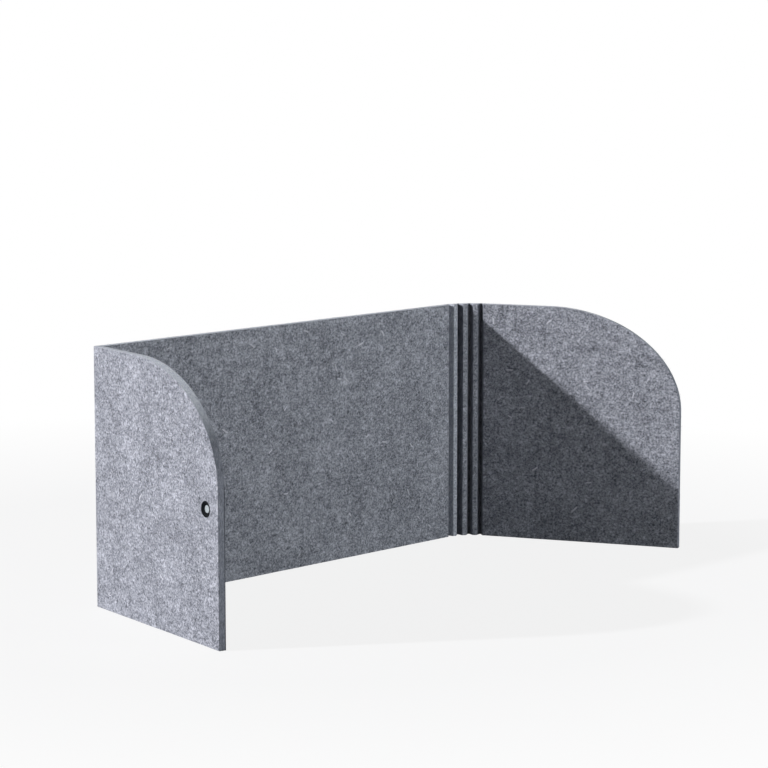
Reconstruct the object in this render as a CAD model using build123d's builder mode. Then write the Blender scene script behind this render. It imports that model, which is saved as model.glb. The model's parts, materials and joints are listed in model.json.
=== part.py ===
from build123d import *

import os
from math import cos, radians, sin, tan

# Folding acoustic desk screen, cut from one sheet of pressed felt.
# A back panel stands between two wings. V-shaped grooves are cut into the inner
# face almost through the sheet, and the skin left on the outer face is the hinge.
# The left wing folds at one mitred groove. The right wing folds round a row of
# narrow ribs between four grooves, so that its corner is round outside.
# Origin: middle of the back panel's bottom face. X runs along the back panel,
# +Y points away from the user, Z is up.

# The felt sheet
screen_height = 400.0
felt_thickness = 12.0
back_length = 780.0
left_wing_length = 355.0
right_wing_length = 350.0

# The wings' upper front corners are quarter ellipses
corner_width = 232.0
corner_height = 170.0

# The folds, measured along the outer face
mitre_groove_angle = 90.0
rib_groove_angle = 60.0
rib_pitch = 21.0
rib_count = 3

# How far the wings are folded in the stored pose, as angles inside the corners
left_inside_angle = 101.0
right_inside_angle = 115.0
straight_angle = 180.0
quarter_turn = 90.0

# The linking magnets, let into the outer face of each wing
magnet_setback = 34.0
magnet_diameter = 12.0
magnet_thickness = 3.2
magnet_edge_chamfer = 0.5
magnet_sink = 2.4
cup_diameter = 24.0
cup_depth = 7.0
cup_rim_width = 1.1
cup_rim_radius = 0.4
seat_rim_width = 0.7
fit_clearance = 0.1

# Derived sizes
magnet_height = screen_height / 2
bend_angle = (straight_angle - right_inside_angle) / (rib_count + 1)
mitre_reach = felt_thickness * tan(radians(mitre_groove_angle / 2))
rib_reach = felt_thickness * tan(radians(rib_groove_angle / 2))
outer_face_y = felt_thickness / 2
left_fold = Vector(-back_length / 2, outer_face_y)
first_right_fold = Vector(back_length / 2, outer_face_y)

os.makedirs("parts", exist_ok=True)


def heading(angle):
    """Give the unit vector that points along a plan angle, counted from +X."""
    return Vector(cos(radians(angle)), sin(radians(angle)))


def right_folds():
    """List the outer lines of the right corner's grooves, with the angle that each rib points along."""
    folds = [(first_right_fold, -bend_angle)]
    for rib in range(1, rib_count + 1):
        fold, angle = folds[-1]
        folds.append((fold + heading(angle) * rib_pitch, -bend_angle * (rib + 1)))
    return folds


def outer_face(fold, wing_angle, side):
    """Give a wing's outer face: origin on its fold, Y up, Z outwards, and X times side towards its front."""
    along = heading(wing_angle) * side
    return Plane(origin=fold, x_dir=along, z_dir=along.cross(Vector(0, 0, 1)))


def groove_wall(face, side, groove_angle):
    """Give the sloping wall of the groove at a wing's fold, with its normal into the wing."""
    half_angle = radians(groove_angle / 2)
    normal = face.x_dir * side * cos(half_angle) + face.z_dir * sin(half_angle)
    return Plane(origin=face.origin, z_dir=normal)


def magnet_face(face, side, length):
    """Give the plane of a wing's outer face, centred where its magnet sits."""
    centre = face.from_local_coords((side * (length - magnet_setback), magnet_height, 0))
    return Plane(origin=centre, x_dir=face.x_dir, z_dir=face.z_dir)


def export_piece(piece, name):
    """Label a finished piece and write it under its own name."""
    piece.label = name
    export_step(piece, f"parts/{name}.step")


# Back panel: mitred at the left fold, with half a rib groove at the right one
with BuildPart() as back_panel:
    with BuildSketch():
        with BuildLine():
            Polyline(
                (-back_length / 2, outer_face_y),
                (back_length / 2, outer_face_y),
                (back_length / 2 - rib_reach, -outer_face_y),
                (-back_length / 2 + mitre_reach, -outer_face_y),
                close=True,
            )
        make_face()
    extrude(amount=screen_height)
export_piece(back_panel.part, "back_panel")


# Ribs of the right corner: trapezoids with their broad side in the outer face
for number, (rib_fold, rib_angle) in enumerate(right_folds()[:rib_count], start=1):
    with BuildPart() as hinge_rib:
        with BuildSketch(Plane(origin=rib_fold, x_dir=heading(rib_angle), z_dir=(0, 0, 1))):
            with BuildLine():
                Polyline(
                    (0, 0),
                    (rib_pitch, 0),
                    (rib_pitch - rib_reach, -felt_thickness),
                    (rib_reach, -felt_thickness),
                    close=True,
                )
            make_face()
        extrude(amount=screen_height)
    export_piece(hinge_rib.part, f"hinge_rib_{number}")


def make_wing(face, side, length, groove_angle):
    """Make a wing: a plate with a rounded upper corner, a sloped fold edge and a pocket for the magnet."""
    arc_centre = (side * (length - corner_width), screen_height - corner_height)
    arc_start = 0 if side > 0 else quarter_turn
    with BuildPart() as wing:
        with BuildSketch(face):
            with BuildLine():
                Polyline(
                    (arc_centre[0], screen_height),
                    (0, screen_height),
                    (0, 0),
                    (side * length, 0),
                    (side * length, arc_centre[1]),
                )
                EllipticalCenterArc(
                    arc_centre, corner_width, corner_height, start_angle=arc_start, arc_size=quarter_turn
                )
            make_face()
        extrude(amount=-felt_thickness)
        split(bisect_by=groove_wall(face, side, groove_angle), keep=Keep.TOP)
        with Locations(magnet_face(face, side, length)):
            Hole(cup_diameter / 2, depth=cup_depth)
    return wing.part


def make_magnet_cup(mouth):
    """Make the round cup: a rim flush with the felt, a dish, and a seat for the magnet at its middle."""
    outer_radius = cup_diameter / 2 - fit_clearance
    seat_radius = magnet_diameter / 2 + fit_clearance
    seat_depth = magnet_sink + magnet_thickness
    with BuildPart() as cup:
        with BuildSketch(Plane(origin=mouth.origin, x_dir=mouth.x_dir, z_dir=-mouth.y_dir)):
            with BuildLine():
                Polyline(
                    (0, -cup_depth),
                    (outer_radius, -cup_depth),
                    (outer_radius, 0),
                    (outer_radius - cup_rim_width, 0),
                    (seat_radius + seat_rim_width, -magnet_sink),
                    (seat_radius, -magnet_sink),
                    (seat_radius, -seat_depth),
                    (0, -seat_depth),
                    close=True,
                )
            make_face()
        revolve(axis=Axis(mouth.origin, mouth.z_dir))
        rim = cup.faces().sort_by(Axis(mouth.origin, mouth.z_dir))[-1]
        fillet(rim.edges(), radius=cup_rim_radius)
    return cup.part


def make_magnet(mouth):
    """Make the disc magnet that stands on the floor of its cup's seat, with its outer edge chamfered."""
    with BuildPart() as magnet:
        with BuildSketch(mouth.offset(-magnet_sink)):
            Circle(magnet_diameter / 2)
        extrude(amount=-magnet_thickness)
        front = magnet.faces().sort_by(Axis(mouth.origin, mouth.z_dir))[-1]
        chamfer(front.edges(), length=magnet_edge_chamfer)
    return magnet.part


# Wings with their magnets: the left one on the mitre, the right one past the last rib
last_fold, right_wing_angle = right_folds()[-1]
wings = (
    ("left", outer_face(left_fold, -left_inside_angle, 1), 1, left_wing_length, mitre_groove_angle),
    ("right", outer_face(last_fold, right_wing_angle, -1), -1, right_wing_length, rib_groove_angle),
)
for name, face, side, length, groove_angle in wings:
    mouth = magnet_face(face, side, length)
    export_piece(make_wing(face, side, length, groove_angle), f"{name}_wing")
    export_piece(make_magnet_cup(mouth), f"{name}_magnet_cup")
    export_piece(make_magnet(mouth), f"{name}_magnet")
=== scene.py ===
"""Folding desk screen of pressed felt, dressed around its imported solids.

The screen is one thick felt board. Grooves in its inner face let it fold: one at the left corner, four round the
right corner. The skin that each groove leaves on the outer face is its hinge. Everything is in metres, in the
frame's own axes: X along the back panel, +Y away from the user, Z up.
"""
import json
import logging
import math
from collections.abc import Callable
from dataclasses import dataclass
from enum import Enum

import bmesh
import bpy
import numpy as np
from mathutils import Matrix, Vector, geometry, noise


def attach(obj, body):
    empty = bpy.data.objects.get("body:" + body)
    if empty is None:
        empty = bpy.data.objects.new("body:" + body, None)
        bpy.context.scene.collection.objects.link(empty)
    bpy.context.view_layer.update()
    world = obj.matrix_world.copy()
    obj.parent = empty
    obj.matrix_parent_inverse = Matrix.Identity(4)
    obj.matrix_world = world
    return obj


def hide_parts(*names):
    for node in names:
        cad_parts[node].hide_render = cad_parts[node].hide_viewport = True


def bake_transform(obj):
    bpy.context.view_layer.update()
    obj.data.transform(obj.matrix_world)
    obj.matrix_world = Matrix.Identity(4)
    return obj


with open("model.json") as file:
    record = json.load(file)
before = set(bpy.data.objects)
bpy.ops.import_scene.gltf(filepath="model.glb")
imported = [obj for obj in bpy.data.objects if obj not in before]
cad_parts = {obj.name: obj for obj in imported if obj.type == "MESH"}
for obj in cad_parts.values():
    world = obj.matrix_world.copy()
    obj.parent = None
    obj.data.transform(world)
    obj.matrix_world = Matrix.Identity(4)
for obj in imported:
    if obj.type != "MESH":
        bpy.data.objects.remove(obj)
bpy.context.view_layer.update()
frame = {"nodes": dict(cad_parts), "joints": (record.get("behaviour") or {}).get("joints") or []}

log = logging.getLogger("desk_screen")

MM = 0.001
FULL_TURN = 2 * math.pi
WHITE = (1.0, 1.0, 1.0, 1.0)
Pair = tuple[float, float]
Spot = tuple[float, float, float]
Colour = tuple[float, float, float]
Faces = list[tuple[int, ...]]
Piece = bpy.types.Object
Material = bpy.types.Material
Socket = bpy.types.NodeSocket
Term = Socket | float | tuple


def new_object(name: str, data: bpy.types.ID) -> Piece:
    """Make an object and put it in the scene.

    Args:
        name: Its name.
        data: Its mesh, lamp or camera.

    Returns:
        The object, at the origin.
    """
    made = bpy.data.objects.new(name, data)
    bpy.context.scene.collection.objects.link(made)
    return made


def circle_points(radius: float, count: int) -> np.ndarray:
    """Give points round a circle at the origin, anticlockwise."""
    turn = np.linspace(0, FULL_TURN, count, endpoint=False)
    return radius * np.stack([np.cos(turn), np.sin(turn)], axis=1)


class End(Enum):
    """How a felt panel ends: cut off square, or with half of a groove."""

    CUT = "cut"
    MITRE = "mitre"
    RIB_GROOVE = "rib groove"


@dataclass(frozen=True)
class Board:
    """The felt board that the whole screen is cut from.

    Beside a fold its outer face steps back and leaves room for the fold's skin. step_depths and step_backs, in mm,
    are those steps: at each depth, how far the board stands back from the fold line. The last one is on the wall.
    """

    height: float = 400 * MM
    thickness: float = 12 * MM
    edge_radius: float = 0.9 * MM
    groove_shade_fade: float = 4.5 * MM
    step: float = 2.9 * MM
    arc_steps: int = 4
    wall_steps: int = 8
    relief: float = 0.16 * MM
    groove_half: float = math.radians(30)
    mitre_half: float = math.radians(45)
    step_depths: tuple[float, ...] = (0.0, 0.13, 0.5, 0.9, 1.4)
    step_backs: tuple[float, ...] = (3.6, 3.4, 2.6, 1.9)

    def slope(self, end: End) -> float:
        """Give how far a groove's wall leans back per unit of depth."""
        return {End.CUT: 0.0, End.MITRE: math.tan(self.mitre_half), End.RIB_GROOVE: math.tan(self.groove_half)}[end]

    def rows(self) -> np.ndarray:
        """List the rings round a cut edge, from the outer face to the inner one.

        Returns:
            An array with a line per ring: its depth, how far it lies inside the outline, and the share of its
            normal that points out of the edge.
        """
        turn = np.linspace(0.0, math.pi / 2, self.arc_steps + 1)
        radius = self.edge_radius
        outer = np.stack([radius * (1 - np.cos(turn)), radius * (1 - np.sin(turn)), np.sin(turn)], axis=1)
        flat = np.linspace(radius, self.thickness - radius, self.wall_steps + 1)[1:-1]
        wall = np.stack([flat, np.zeros_like(flat), np.ones_like(flat)], axis=1)
        inner = outer[::-1] * (-1, 1, 1) + (self.thickness, 0, 0)
        return np.concatenate([outer, wall, inner])

    def groove_rows(self, end: End) -> np.ndarray:
        """Give how far each ring of rows() lies behind the fold line on a side that ends in half a groove.

        Args:
            end: Which groove the side ends in.

        Returns:
            One distance per ring. Near the outer face the board steps back and the fold's skin takes over.
        """
        depth, inset, _ = self.rows().T
        if end is End.CUT:
            return np.zeros_like(depth)
        slope = self.slope(end)
        step_depth = np.array(self.step_depths) * MM
        step_back = np.array([*self.step_backs, self.step_depths[-1] * slope]) * MM
        wall = depth * slope + np.where(depth > self.thickness / 2, inset, 0.0)
        return np.where(depth < step_depth[-1], np.interp(depth, step_depth, step_back), wall)


BOARD = Board()


@dataclass(frozen=True)
class Place:
    """Where one flat stretch of the board stands at rest, and which stretch of the unrolled board it is."""

    origin: Pair
    heading: float
    side: int
    unrolled: float

    @property
    def along(self) -> np.ndarray:
        """Give the unit vector along the stretch, away from its fold."""
        turn = math.radians(self.heading)
        return np.array([math.cos(turn), math.sin(turn), 0.0])

    @property
    def outward(self) -> np.ndarray:
        """Give the unit vector out of the outer face."""
        x, y, _ = self.along
        return np.array([-y, x, 0.0]) * self.side

    def world(self, local: np.ndarray) -> np.ndarray:
        """Turn (distance from the fold, height, depth under the outer face) into frame coordinates."""
        start, up = np.array([*self.origin, 0.0]), np.array([0.0, 0.0, 1.0])
        return start + local[:, :1] * self.along + local[:, 1:2] * up - local[:, 2:] * self.outward

    def sheet(self, local: np.ndarray) -> np.ndarray:
        """Give where on the unrolled board each local point lies, so that the felt's pattern runs across folds."""
        return local * (self.side, 1, 1) + (self.unrolled, 0, 0)


@dataclass(frozen=True)
class Layout:
    """How the board is divided, and where its folds are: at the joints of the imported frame."""

    left_wing: float = 355 * MM
    right_wing: float = 350 * MM
    corner: Pair = (232 * MM, 170 * MM)
    magnet_setback: float = 34 * MM
    rib_pitch: float = 21 * MM
    ribs: int = 3
    left_inside: float = 101.0
    right_inside: float = 115.0
    left_bend_radius: float = 2.2 * MM
    right_bend_radius: float = 6 * MM

    @property
    def left_bend(self) -> float:
        """Give the bend at the left corner's fold, in degrees."""
        return 180.0 - self.left_inside

    @property
    def bend(self) -> float:
        """Give the bend at each of the right corner's folds, in degrees."""
        return (180.0 - self.right_inside) / (self.ribs + 1)

    def fold(self, joint: str) -> Pair:
        """Give the plan position of a joint's axis."""
        found = next(j for j in frame["joints"] if j["name"] == joint)
        return found["pos_m"][0], found["pos_m"][1]

    def back(self) -> Place:
        """Place the back panel, counted from the left fold."""
        x, y = self.fold("left_fold")
        return Place((x, y), 0.0, 1, x)

    def left(self) -> Place:
        """Place the left wing, counted from the left fold to its front edge."""
        x, y = self.fold("left_fold")
        return Place((x, y), -self.left_inside, -1, x)

    def turned(self, number: int) -> Place:
        """Place the stretch after fold number 1 to 4 of the right corner: ribs 1 to 3, then the right wing."""
        start = self.fold("right_fold_1")[0] + (number - 1) * self.rib_pitch
        return Place(self.fold(f"right_fold_{number}"), -self.bend * number, 1, start)


LAYOUT = Layout()


def strip(upper: np.ndarray, lower: np.ndarray, closed: bool, turned: bool = False) -> Faces:
    """Lay quads between two rows of points.

    Args:
        upper: The first row's point numbers.
        lower: The second row's, as many.
        closed: Whether the rows are rings.
        turned: Whether the quads face the other way.

    Returns:
        The quads, from the rows' start to their end.
    """
    if closed:
        upper, lower = np.append(upper, upper[0]), np.append(lower, lower[0])
    sides = [lower[:-1], upper[1:]] if turned else [upper[1:], lower[:-1]]
    return [tuple(quad) for quad in np.column_stack([upper[:-1], sides[0], lower[1:], sides[1]]).tolist()]


class Shell:
    """Local points with their cut values and their painted groove shade, gathered block by block into a felt piece.
    """

    painted_highlight_start: float = 0.48
    painted_highlight_span: float = 0.42

    def __init__(self) -> None:
        """Start with no points."""
        self.blocks: list[np.ndarray] = []

    def add(self, points: np.ndarray, cut: float, groove: float | np.ndarray = 0.0) -> np.ndarray:
        """Add a block of points.

        Args:
            points: Their local places.
            cut: 1 where the knife has cut the felt, 0 on the pressed faces.
            groove: painted shade, 1 deep in a groove, 0 outside it.

        Returns:
            The new points' numbers.
        """
        start = sum(len(block) for block in self.blocks)
        marks = [np.broadcast_to(value, len(points)) for value in (cut, groove)]
        self.blocks.append(np.column_stack([points, *marks]))
        return start + np.arange(len(points))

    def make(self, name: str, faces: Faces, world: Callable, sheet: Callable, flip: bool) -> Piece:
        """Make the felt piece, with its own attributes: sheet, cut, groove for painted shade in the grooves, and a
        painted highlight on cut felt that looks up.

        Args:
            name: The piece's name.
            faces: Its faces as point numbers. Points outside them are left out.
            world: Turns local points into frame coordinates.
            sheet: Turns local points into places on the unrolled board.
            flip: Whether the faces have to be turned over.

        Returns:
            The piece, at the origin.
        """
        rows = np.concatenate(self.blocks)
        used = np.unique(np.concatenate([np.array(face) for face in faces]))
        renumber = np.full(len(rows), -1)
        renumber[used] = np.arange(len(used))
        local, cut, groove = rows[used, :3], rows[used, 3], rows[used, 4]
        points = world(local)
        points = np.column_stack([points[:, :2], np.maximum(points[:, 2], 0.0)])
        way = -1 if flip else 1
        mesh = bpy.data.meshes.new(name)
        mesh.from_pydata(points.tolist(), [], [renumber[list(face)].tolist()[::way] for face in faces])
        mesh.shade_smooth()
        mesh.update()
        facing = np.zeros(len(points) * 3, np.float32)
        mesh.vertex_normals.foreach_get("vector", facing)
        # Painted highlight: cut felt is lightened the more its normal points up.
        crown = np.clip((facing[2::3] - self.painted_highlight_start) / self.painted_highlight_span, 0, 1) * cut
        place = sheet(local).astype(np.float32).ravel()
        mesh.attributes.new("sheet", "FLOAT_VECTOR", "POINT").data.foreach_set("vector", place)
        for key, values in (("cut", cut), ("groove", groove), ("crown", crown)):
            mesh.attributes.new(key, "FLOAT", "POINT").data.foreach_set("value", values.astype(np.float32))
        return new_object(name, mesh)


def felt_relief(sheet: np.ndarray, amount: float) -> np.ndarray:
    """Give the soft unevenness of pressed felt.

    Args:
        sheet: Points on the unrolled board.
        amount: The height of the finer lumps.

    Returns:
        How far each point stands out of the flat face, mostly below it.
    """
    fine, finer, broad = 150.0, 2.1, 21.0
    lumps = []
    for point in map(Vector, sheet):
        small = noise.noise(point * fine) * 0.6 + noise.noise(point * fine * finer) * 0.4
        lumps.append(small + noise.noise(point * broad))
    return (np.array(lumps) - 0.6) * amount


@dataclass
class FeltPanel:
    """A flat stretch of the board with a groove or a cut at either end, and maybe a round corner and a pocket."""

    name: str
    body: str
    node: str
    place: Place
    length: float
    near: End
    far: End
    corner: Pair = (0.0, 0.0)
    pocket: Pair | None = None
    pocket_radius: float = 12 * MM
    pocket_depth: float = 7 * MM
    pocket_points: int = 72
    pocket_rings: Pair = (1.4 * MM, 2.8 * MM)
    ring_points: int = 48
    lip_width: float = 0.6 * MM
    lip_steps: tuple[Pair, ...] = ((0.3, 0.08), (0.09, 0.25), (0.0, 0.6), (0.0, 3.5))
    dent_reach: float = 2.2 * MM
    dent_depth: float = 0.22 * MM
    end_step: float = 1.2 * MM
    unevenness: float = 0.16
    calm_reach: float = 4 * MM
    calm_fade: float = 8 * MM
    # These fields paint a shadow line: painted shade on the inner arris of a straight cut front edge.
    painted_arris_shadow: bool = False
    arris_shade: float = 3.1
    arris_depth: float = 1.2 * MM
    arris_reach: float = 0.1 * MM

    def outline(self) -> tuple[np.ndarray, np.ndarray, np.ndarray]:
        """Walk round the panel's outline, anticlockwise as seen from inside.

        Returns:
            The outline's points, the direction into the panel at each, and a mask of the points in a groove.
        """
        wide, high = self.corner
        length, height, step = self.length, BOARD.height, BOARD.step
        points: list[Pair] = []
        inward: list[Pair] = []
        groove: list[bool] = []

        def run(start: Pair, end: Pair, into: Pair, in_groove: bool) -> None:
            """Add the points after start up to end, with a short first and last step in a groove.

            Args:
                start: Where the run starts.
                end: Where it ends.
                into: The direction into the panel.
                in_groove: Whether the run is a groove's wall.
            """
            count = max(2, round(math.dist(start, end) / step))
            shares = [k / count for k in range(1, count + 1)]
            if in_groove:
                short = self.end_step / math.dist(start, end)
                shares = [short, *shares[:-1], 1 - short, 1.0]
            for share in shares:
                points.append((start[0] + (end[0] - start[0]) * share, start[1] + (end[1] - start[1]) * share))
                inward.append(into)
                groove.append(in_groove)

        run((0, 0), (length, 0), (0, 1), False)
        far_cut = self.far is End.CUT
        inward[-1] = (-1, 1) if far_cut else (0, 1)
        run((length, 0), (length, height - high), (-1, 0) if far_cut else (0, 0), not far_cut)
        groove[-1] = False
        if wide:
            count = round(math.pi / 4 * (wide + high) * 1.02 / step)
            for turn in (math.pi / 2 * k / count for k in range(1, count + 1)):
                points.append((length - wide + wide * math.cos(turn), height - high + high * math.sin(turn)))
                normal = Vector((-math.cos(turn) / wide, -math.sin(turn) / high)).normalized()
                inward.append((normal.x, normal.y))
                groove.append(False)
        else:
            inward[-1] = (0, -1)
        run((length - wide, height), (0, height), (0, -1), False)
        run((0, height), (0, 0), (0, 0), True)
        inward[-1] = (0, 1)
        groove[-1] = False
        return np.array(points), np.array(inward, float), np.array(groove)

    def scatter(self) -> np.ndarray:
        """Fill the panel with slightly uneven rows of points, clear of its outline and pocket rim.

        Returns:
            The rows' points, and two rings of points close round the pocket where there is one.
        """
        step, (wide, high) = BOARD.step, self.corner
        clear, half = step * 0.6, step * 0.5
        rise = step * math.sqrt(3) / 2
        rows, columns = np.arange(rise / 2, BOARD.height, rise), np.arange(half, self.length, step)
        grid = [(x + half * (k % 2), y) for k, y in enumerate(rows) for x in columns]
        jitter = np.random.default_rng(7).uniform(-self.unevenness, self.unevenness, (len(grid), 2))
        points = np.array(grid) + jitter * step
        x, y = points.T
        keep = (x < self.length - clear) & (x > clear) & (y > clear) & (y < BOARD.height - clear)
        if wide:
            across, above = (x - self.length + wide) / (wide - clear), (y - BOARD.height + high) / (high - clear)
            keep &= (across < 0) | (above < 0) | (across**2 + above**2 < 1)
        if self.pocket is None:
            return points[keep]
        away = np.linalg.norm(points - self.pocket, axis=1)
        keep &= abs(away - self.pocket_radius) > half
        rings = [self.pocket_radius + extra for extra in self.pocket_rings]
        keep &= (away < self.pocket_radius) | (away > rings[-1] + half)
        around = circle_points(1.0, self.ring_points)
        return np.concatenate([points[keep], *(np.array(self.pocket) + around * ring for ring in rings)])

    def lay(self, flat: np.ndarray, depth: float, near: float, far: float) -> np.ndarray:
        """Lay outline points at a depth, squeezed between the two ends' walls there.

        Args:
            flat: Points on the outline's plane.
            depth: How deep under the outer face they go.
            near: How far the wall at the near end stands back from the fold there.
            far: The same at the far end.

        Returns:
            Local points: distance from the fold, height and depth.
        """
        share = flat[:, 0] / self.length
        return np.column_stack([flat[:, 0] + near * (1 - share) - far * share, flat[:, 1], np.full(len(flat), depth)])

    def raised(self, local: np.ndarray) -> np.ndarray:
        """Give the relief at local points, fading out towards the folds and sinking round the pocket.

        Args:
            local: The points.

        Returns:
            How far each stands out of its flat face.
        """
        relief = felt_relief(self.place.sheet(local), BOARD.relief)
        room = np.full(len(local), 1.0)
        if self.near is not End.CUT:
            room = np.minimum(room, local[:, 0])
        if self.far is not End.CUT:
            room = np.minimum(room, self.length - local[:, 0])
        relief *= np.clip((room - self.calm_reach) / self.calm_fade, 0, 1)
        if self.pocket is not None:
            away = np.linalg.norm(local[:, :2] - self.pocket, axis=1) - self.pocket_radius
            dent = np.exp(-((np.maximum(away, 0) / self.dent_reach) ** 2))
            dent = np.where(local[:, 2] < BOARD.thickness / 2, dent, 0)
            relief = relief * (1 - dent) - self.dent_depth * dent
        return relief

    def triangles(self, flat: np.ndarray, count: int, rim: int) -> tuple[np.ndarray, np.ndarray]:
        """Join the panel's flat points into triangles.

        Args:
            flat: The points: the outline's, then the pocket rim's, then those between.
            count: How many are on the outline.
            rim: How many are on the pocket's rim.

        Returns:
            The triangles as point numbers, anticlockwise, and a mask of those inside the pocket.
        """
        nearest, smallest = 1e-7, 1e-10
        borders = [(k, (k + 1) % count) for k in range(count)]
        borders += [(count + k, count + (k + 1) % rim) for k in range(rim)]
        made = geometry.delaunay_2d_cdt([Vector(point) for point in flat], borders, [], 1, nearest, True)
        source = [ids[0] for ids in made[3]]
        triangles = np.array([[source[v] for v in face] for face in made[2]])
        a, b, c = (flat[triangles[:, k]] for k in range(3))
        area = np.cross(b - a, c - a)
        triangles, area = triangles[abs(area) > smallest], area[abs(area) > smallest]
        triangles[area < 0] = triangles[area < 0][:, ::-1]
        if not rim:
            return triangles, np.zeros(len(triangles), bool)
        middle = flat[triangles].mean(axis=1)
        return triangles, np.linalg.norm(middle - self.pocket, axis=1) < self.pocket_radius * 0.999

    def sink(self, shell: Shell, flat: np.ndarray, rim: np.ndarray, bottom: np.ndarray) -> Faces:
        """Sink the pocket into the outer face.

        Args:
            shell: The panel's points so far.
            flat: The panel's flat points.
            rim: Which of them are on the pocket's rim.
            bottom: The triangles inside it.

        Returns:
            The faces of the pocket's floor and wall.
        """
        out = (flat[rim] - self.pocket) / self.pocket_radius
        rings = [rim]
        for grow, depth in self.lip_steps:
            level = np.full(len(rim), depth * MM + self.dent_depth)
            rings.append(shell.add(np.column_stack([flat[rim] + out * grow * MM, level]), min(1.0, depth * 2)))
        floor = shell.add(np.column_stack([flat, np.full(len(flat), self.pocket_depth)]), 1.0)
        rings.append(floor[rim])
        faces = [tuple(face[::-1]) for face in floor[bottom].tolist()]
        for upper, lower in zip(rings, rings[1:]):
            faces += strip(upper, lower, closed=True, turned=True)
        return faces

    def mesh(self) -> Piece:
        """Build the panel as one closed mesh: two faces, the edge or groove wall between them, and the pocket.

        Returns:
            The felt piece.
        """
        outline, inward, in_groove = self.outline()
        pocket = np.zeros((0, 2))
        if self.pocket:
            pocket = circle_points(self.pocket_radius, self.pocket_points) + self.pocket
        flat = np.concatenate([outline, pocket, self.scatter()])
        count = len(outline)
        rim = np.arange(count, count + len(pocket))
        triangles, inside = self.triangles(flat, count, len(pocket))
        rows, near, far = BOARD.rows(), BOARD.groove_rows(self.near), BOARD.groove_rows(self.far)
        last = len(rows) - 1
        shell, sheets = Shell(), []
        for side, row in ((-1, 0), (1, last)):
            local = self.lay(flat, rows[row, 0], near[row], far[row])
            local[:count, :2] += inward * rows[row, 1]
            if self.pocket and side < 0:
                local[rim, :2] += (pocket - self.pocket) / self.pocket_radius * self.lip_width
            local[:, 2] += side * self.raised(local)
            sheets.append(shell.add(local, 0.0))
        outer, inner = sheets
        rings = [outer[:count]]
        for row in range(1, last):
            depth, inset, outward = rows[row]
            local = self.lay(outline, depth, near[row], far[row])
            proud = self.raised(local)
            local[:, :2] += inward * (inset - proud * outward)[:, None]
            side = -1 if row < len(rows) / 2 else 1
            local[:, 2] += side * proud * (1 - outward)
            # Painted shade: groove walls darken towards the groove's bottom and fade to none near the inner face;
            # with the arris fields on, the inner arris of the front edge gets a painted shadow line.
            groove = in_groove * min(1.0, (BOARD.thickness - depth) / BOARD.groove_shade_fade)
            if self.painted_arris_shadow and depth > BOARD.thickness - self.arris_depth:
                front = outline[:, 0] > self.length - self.arris_reach
                groove = np.maximum(groove, np.where(front, self.arris_shade, 0.0))
            rings.append(shell.add(local, min(1.0, outward * 1.2), groove))
        rings.append(inner[:count])
        faces = [tuple(face[::-1]) for face in outer[triangles[~inside]].tolist()]
        faces += [tuple(face) for face in inner[triangles].tolist()]
        for upper, lower in zip(rings, rings[1:]):
            faces += strip(upper, lower, closed=True)
        if self.pocket:
            faces += self.sink(shell, flat, rim, triangles[inside])
        return shell.make(self.name, faces, self.place.world, self.place.sheet, flip=self.place.side < 0)

    def dress(self, felt: Material) -> Piece:
        """Build the panel, give it its felt, and let it stand for its solid.

        Args:
            felt: The felt material.

        Returns:
            The piece.
        """
        piece = self.mesh()
        piece.data.materials.append(felt)
        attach(piece, self.body)
        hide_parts(self.node)
        log.info("%s: %d faces on %s", piece.name, len(piece.data.polygons), self.body)
        return piece


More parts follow.
